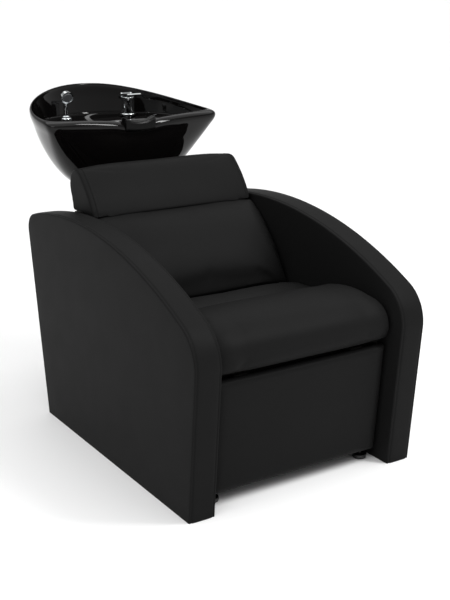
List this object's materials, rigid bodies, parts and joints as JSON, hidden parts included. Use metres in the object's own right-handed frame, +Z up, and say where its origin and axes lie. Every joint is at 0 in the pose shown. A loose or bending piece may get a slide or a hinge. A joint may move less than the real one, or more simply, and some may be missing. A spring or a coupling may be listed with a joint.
{
  "type": "salon backwash unit",
  "caption": "Salon backwash unit: upholstered armchair with roll-front seat, reclined back and bolster, and a tilting ceramic wash basin with mixer and hand shower.",
  "frame": {"origin": "on the floor under the middle of the unit's width and depth", "axes": "+X to the left of someone who sits in it, +Y to the rear, towards the basin, +Z up"},
  "size_m": [0.7, 1.3109, 0.9275],
  "materials": {
    "black_leatherette": "satin",
    "plywood_and_timber": "matte",
    "black_stained_timber": "matte",
    "black_painted_steel": "satin",
    "zinc_plated_fasteners": "satin",
    "black_laminate": "matte",
    "black_nylon": "matte",
    "black_rubber": "matte",
    "black_glazed_ceramic": "gloss",
    "chrome_plate": "polished",
    "brass": "polished",
    "grey_plastic": "matte"
  },
  "bodies": {
    "chair": {"left_arm_band": "black_leatherette", "left_arm_outer_panel": "black_leatherette", "left_arm_inner_panel": "black_leatherette", "right_arm_band": "black_leatherette", "right_arm_outer_panel": "black_leatherette", "right_arm_inner_panel": "black_leatherette", "seat_cushion": "black_leatherette", "back_cushion": "black_leatherette", "headrest": "black_leatherette", "front_panel": "black_leatherette", "left_arm_frame": "plywood_and_timber", "right_arm_frame": "plywood_and_timber", "seat_board": "black_stained_timber", "front_seat_rail": "black_stained_timber", "rear_seat_rail": "black_stained_timber", "front_panel_battens": "black_stained_timber", "back_board": "black_stained_timber", "headrest_rail": "black_stained_timber", "rear_battens": "black_stained_timber", "rear_panel": "black_laminate", "foot_glides": "black_nylon", "front_cross_tube": "black_painted_steel", "rear_cross_tube": "black_painted_steel", "left_base_rail": "black_painted_steel", "right_base_rail": "black_painted_steel", "post_plate": "black_painted_steel", "basin_post": "black_painted_steel", "tilt_yoke": "black_painted_steel", "yoke_bolts": "zinc_plated_fasteners", "pivot_pin": "zinc_plated_fasteners", "pivot_nut": "zinc_plated_fasteners", "friction_washers": "black_nylon"},
    "basin": {"cradle": "black_painted_steel", "cradle_pad": "black_rubber", "cradle_bolts": "zinc_plated_fasteners", "basin": "black_glazed_ceramic", "neck_rest": "black_rubber", "drain_flange": "chrome_plate", "drain_gasket": "black_rubber", "drain_nut": "black_nylon", "drain_tail": "chrome_plate", "mixer_gasket": "black_rubber", "mixer_body": "chrome_plate", "mixer_nut": "brass", "supply_tails": "brass", "shower_holder": "chrome_plate", "shower_holder_nut": "brass"},
    "strainer": {"strainer": "chrome_plate"},
    "mixer_cap": {"mixer_cap": "chrome_plate", "lever_pin": "zinc_plated_fasteners"},
    "mixer_lever": {"mixer_lever": "chrome_plate"},
    "hand_shower": {"shower_handle": "chrome_plate", "spray_face": "grey_plastic"}
  },
  "joints": [
    {"name": "basin_tilt", "type": "hinge", "parent": "chair", "child": "basin", "pos_m": [0, 0.3294, 0.604], "axis": [1, 0, 0], "range_deg": [-10, 12]},
    {"name": "mixer_swivel", "type": "hinge", "parent": "basin", "child": "mixer_cap", "pos_m": [0.11, 0.5254, 0.876], "axis": [0, 0, 1], "range_deg": [-45, 45]},
    {"name": "lever_lift", "type": "hinge", "parent": "mixer_cap", "child": "mixer_lever", "pos_m": [0.11, 0.5374, 0.8964], "axis": [-1, 0, 0], "range_deg": [0, 22]},
    {"name": "shower_lift", "type": "slide", "parent": "basin", "child": "hand_shower", "axis": [0, 0, 1], "range_m": [0, 0.2]},
    {"name": "strainer_lift", "type": "slide", "parent": "basin", "child": "strainer", "axis": [0, 0, 1], "range_m": [0, 0.06]}
  ]
}
